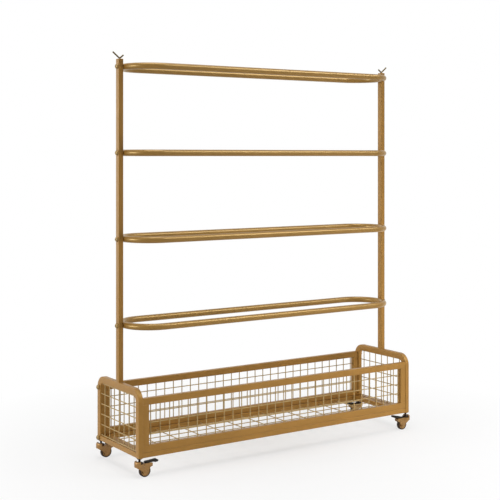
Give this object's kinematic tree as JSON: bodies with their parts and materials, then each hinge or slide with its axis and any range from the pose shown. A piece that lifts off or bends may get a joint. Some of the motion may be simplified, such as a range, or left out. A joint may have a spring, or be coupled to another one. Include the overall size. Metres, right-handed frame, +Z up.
{
  "type": "ball storage rack",
  "caption": "Wheeled ball rack: a low wire-mesh bin between arched end frames, with tall end posts that carry oblong tube shelf loops and hook tips, on swivel casters with brake pedals",
  "frame": {"origin": "on the floor under the middle of the rack", "axes": "+Z up, X along the rack's length with the left end at -X, the front long side faces -Y"},
  "size_m": [1.3686, 0.3606, 1.589],
  "materials": {
    "frame_paint": "satin gold enamel",
    "loop_paint": "satin gold enamel, a little glossier",
    "wire_paint": "satin pale gold enamel",
    "bolt_paint": "satin gold",
    "caster_paint": "brassy satin",
    "dark_steel": "dark oiled",
    "tyre_rubber": "matt dark brown",
    "pedal_plastic": "matt black"
  },
  "bodies": {
    "rack": {"left_end_frame": "frame_paint", "right_end_frame": "frame_paint", "left_end_mesh": "wire_paint", "right_end_mesh": "wire_paint", "front_panel_frame": "frame_paint", "rear_panel_frame": "frame_paint", "front_panel_mesh": "wire_paint", "rear_panel_mesh": "wire_paint", "floor_frame": "frame_paint", "floor_mesh": "wire_paint", "left_post": "frame_paint", "right_post": "frame_paint", "left_post_cap": "frame_paint", "right_post_cap": "frame_paint", "left_hook": "frame_paint", "right_hook": "frame_paint", "shelf_loop_1": "loop_paint", "shelf_loop_2": "loop_paint", "shelf_loop_3": "loop_paint", "shelf_loop_4": "loop_paint", "left_shelf_bolt_1": "bolt_paint", "left_shelf_bolt_2": "bolt_paint", "left_shelf_bolt_3": "bolt_paint", "left_shelf_bolt_4": "bolt_paint", "right_shelf_bolt_1": "bolt_paint", "right_shelf_bolt_2": "bolt_paint", "right_shelf_bolt_3": "bolt_paint", "right_shelf_bolt_4": "bolt_paint", "left_upper_panel_bolt": "bolt_paint", "left_lower_panel_bolt": "bolt_paint", "right_upper_panel_bolt": "bolt_paint", "right_lower_panel_bolt": "bolt_paint", "front_left_stem": "dark_steel", "front_right_stem": "dark_steel", "rear_left_stem": "dark_steel", "rear_right_stem": "dark_steel"},
    "front_left_swivel_body": {"front_left_fork": "caster_paint", "front_left_axle": "caster_paint"},
    "front_left_wheel_body": {"front_left_tyre": "tyre_rubber", "front_left_hub": "caster_paint"},
    "front_left_pedal_body": {"front_left_pedal": "pedal_plastic"},
    "front_right_swivel_body": {"front_right_fork": "caster_paint", "front_right_axle": "caster_paint"},
    "front_right_wheel_body": {"front_right_tyre": "tyre_rubber", "front_right_hub": "caster_paint"},
    "front_right_pedal_body": {"front_right_pedal": "pedal_plastic"},
    "rear_left_swivel_body": {"rear_left_fork": "caster_paint", "rear_left_axle": "caster_paint"},
    "rear_left_wheel_body": {"rear_left_tyre": "tyre_rubber", "rear_left_hub": "caster_paint"},
    "rear_left_pedal_body": {"rear_left_pedal": "pedal_plastic"},
    "rear_right_swivel_body": {"rear_right_fork": "caster_paint", "rear_right_axle": "caster_paint"},
    "rear_right_wheel_body": {"rear_right_tyre": "tyre_rubber", "rear_right_hub": "caster_paint"},
    "rear_right_pedal_body": {"rear_right_pedal": "pedal_plastic"}
  },
  "joints": [
    {"name": "front_left_swivel", "type": "hinge", "parent": "rack", "child": "front_left_swivel_body", "pos_m": [-0.653, -0.1608, 0.0556], "axis": [0, 0, 1], "continuous": true},
    {"name": "front_left_wheel", "type": "hinge", "parent": "front_left_swivel_body", "child": "front_left_wheel_body", "pos_m": [-0.6315, -0.1608, 0.022], "axis": [0, 1, 0], "continuous": true},
    {"name": "front_left_brake", "type": "hinge", "parent": "front_left_swivel_body", "child": "front_left_pedal_body", "pos_m": [-0.6255, -0.1608, 0.0478], "axis": [0, -1, 0], "range_deg": [0, 8]},
    {"name": "front_right_swivel", "type": "hinge", "parent": "rack", "child": "front_right_swivel_body", "pos_m": [0.653, -0.1608, 0.0556], "axis": [0, 0, 1], "continuous": true},
    {"name": "front_right_wheel", "type": "hinge", "parent": "front_right_swivel_body", "child": "front_right_wheel_body", "pos_m": [0.6315, -0.1608, 0.022], "axis": [0, 1, 0], "continuous": true},
    {"name": "front_right_brake", "type": "hinge", "parent": "front_right_swivel_body", "child": "front_right_pedal_body", "pos_m": [0.6255, -0.1608, 0.0478], "axis": [0, 1, 0], "range_deg": [-8, 0]},
    {"name": "rear_left_swivel", "type": "hinge", "parent": "rack", "child": "rear_left_swivel_body", "pos_m": [-0.653, 0.1608, 0.0556], "axis": [0, 0, 1], "continuous": true},
    {"name": "rear_left_wheel", "type": "hinge", "parent": "rear_left_swivel_body", "child": "rear_left_wheel_body", "pos_m": [-0.6315, 0.1608, 0.022], "axis": [0, 1, 0], "continuous": true},
    {"name": "rear_left_brake", "type": "hinge", "parent": "rear_left_swivel_body", "child": "rear_left_pedal_body", "pos_m": [-0.6255, 0.1608, 0.0478], "axis": [0, -1, 0], "range_deg": [-8, 0]},
    {"name": "rear_right_swivel", "type": "hinge", "parent": "rack", "child": "rear_right_swivel_body", "pos_m": [0.653, 0.1608, 0.0556], "axis": [0, 0, 1], "continuous": true},
    {"name": "rear_right_wheel", "type": "hinge", "parent": "rear_right_swivel_body", "child": "rear_right_wheel_body", "pos_m": [0.6315, 0.1608, 0.022], "axis": [0, 1, 0], "continuous": true},
    {"name": "rear_right_brake", "type": "hinge", "parent": "rear_right_swivel_body", "child": "rear_right_pedal_body", "pos_m": [0.6255, 0.1608, 0.0478], "axis": [0, 1, 0], "range_deg": [-8, 0]}
  ]
}
